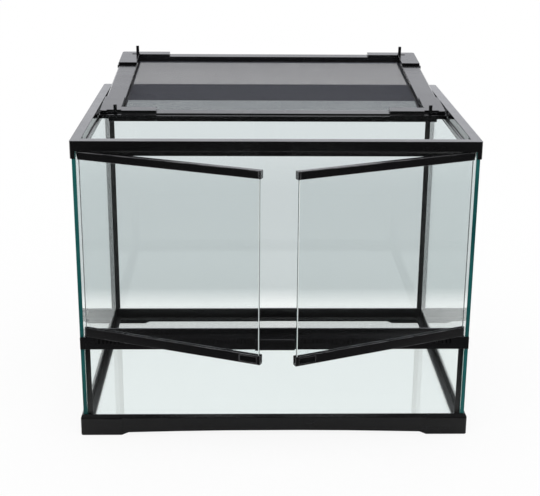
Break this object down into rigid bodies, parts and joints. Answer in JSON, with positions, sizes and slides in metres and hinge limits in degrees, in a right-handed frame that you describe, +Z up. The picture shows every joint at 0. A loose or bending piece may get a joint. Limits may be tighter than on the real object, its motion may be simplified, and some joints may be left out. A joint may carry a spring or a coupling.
{
  "type": "terrarium cabinet",
  "caption": "Front-opening glass terrarium with a black base frame, mid rail and top frame, hinged glass doors, a sliding catch and a loose mesh lid with bolts.",
  "frame": {"origin": "on the surface the cabinet stands on, under the middle of the whole part at rest, with the doors ajar and the lid leaned back; the middle of the base frame is 31.3 mm in front of it", "axes": "+X to the right seen from the doors, +Y from the doors to the rear pane, +Z up"},
  "size_m": [0.6, 0.7352, 0.5123],
  "materials": {
    "black_plastic": "moulded, semi-gloss black with a fine grain",
    "lid_plastic": "semi-gloss black profile",
    "clear_glass": "clear float glass with green cut edges",
    "door_glass": "clear float glass with polished edges",
    "silicone": "smooth black silicone bead",
    "spline_rubber": "matt black bead",
    "wire_mesh": "fine woven steel wire",
    "steel": "turned steel pin",
    "strike_plate": "blackened steel plate"
  },
  "bodies": {
    "cabinet": {"base_frame": "black_plastic", "floor_glass": "clear_glass", "floor_seal": "silicone", "left_side_glass": "clear_glass", "right_side_glass": "clear_glass", "rear_glass": "clear_glass", "lower_front_glass": "clear_glass", "rear_left_seal": "silicone", "rear_right_seal": "silicone", "front_left_seal": "silicone", "front_right_seal": "silicone", "mid_rail": "black_plastic", "top_frame": "black_plastic"},
    "door_catch": {"door_catch": "black_plastic"},
    "left_door": {"left_door_glass": "door_glass", "left_door_top_rail": "black_plastic", "left_door_bottom_rail": "black_plastic", "left_door_end_cap": "black_plastic", "left_door_strike": "strike_plate", "left_door_upper_pin": "steel", "left_door_lower_pin": "steel"},
    "right_door": {"right_door_glass": "door_glass", "right_door_top_rail": "black_plastic", "right_door_bottom_rail": "black_plastic", "right_door_end_cap": "black_plastic", "right_door_strike": "strike_plate", "right_door_upper_pin": "steel", "right_door_lower_pin": "steel"},
    "lid": {"lid_front_rail": "lid_plastic", "lid_rear_rail": "lid_plastic", "lid_left_rail": "lid_plastic", "lid_right_rail": "lid_plastic", "lid_front_left_corner": "lid_plastic", "lid_front_right_corner": "lid_plastic", "lid_rear_left_corner": "lid_plastic", "lid_rear_right_corner": "lid_plastic", "lid_screen": "wire_mesh", "lid_spline": "spline_rubber"},
    "lid_front_left_bolt": {"lid_front_left_bolt": "lid_plastic"},
    "lid_front_right_bolt": {"lid_front_right_bolt": "lid_plastic"},
    "lid_rear_left_bolt": {"lid_rear_left_bolt": "lid_plastic"},
    "lid_rear_right_bolt": {"lid_rear_right_bolt": "lid_plastic"}
  },
  "joints": [
    {"name": "catch_slide", "type": "slide", "parent": "cabinet", "child": "door_catch", "axis": [0, 0, 1], "range_m": [0, 0.012]},
    {"name": "left_door_hinge", "type": "hinge", "parent": "cabinet", "child": "left_door", "pos_m": [-0.284, -0.25128, 0.3], "axis": [0, 0, -1], "range_deg": [-22.3, 77.7]},
    {"name": "right_door_hinge", "type": "hinge", "parent": "cabinet", "child": "right_door", "pos_m": [0.284, -0.25128, 0.3], "axis": [0, 0, 1], "range_deg": [-23.4, 76.6]},
    {"name": "lid_lift", "type": "slide", "parent": "cabinet", "child": "lid", "axis": [0, 0, 1], "range_m": [0, 0.25]},
    {"name": "lid_front_left_bolt_slide", "type": "slide", "parent": "lid", "child": "lid_front_left_bolt", "axis": [-1, 0, 0], "range_m": [0, 0.007]},
    {"name": "lid_front_right_bolt_slide", "type": "slide", "parent": "lid", "child": "lid_front_right_bolt", "axis": [1, 0, 0], "range_m": [0, 0.007]},
    {"name": "lid_rear_left_bolt_slide", "type": "slide", "parent": "lid", "child": "lid_rear_left_bolt", "axis": [-1, 0, 0], "range_m": [0, 0.007]},
    {"name": "lid_rear_right_bolt_slide", "type": "slide", "parent": "lid", "child": "lid_rear_right_bolt", "axis": [1, 0, 0], "range_m": [0, 0.007]}
  ]
}
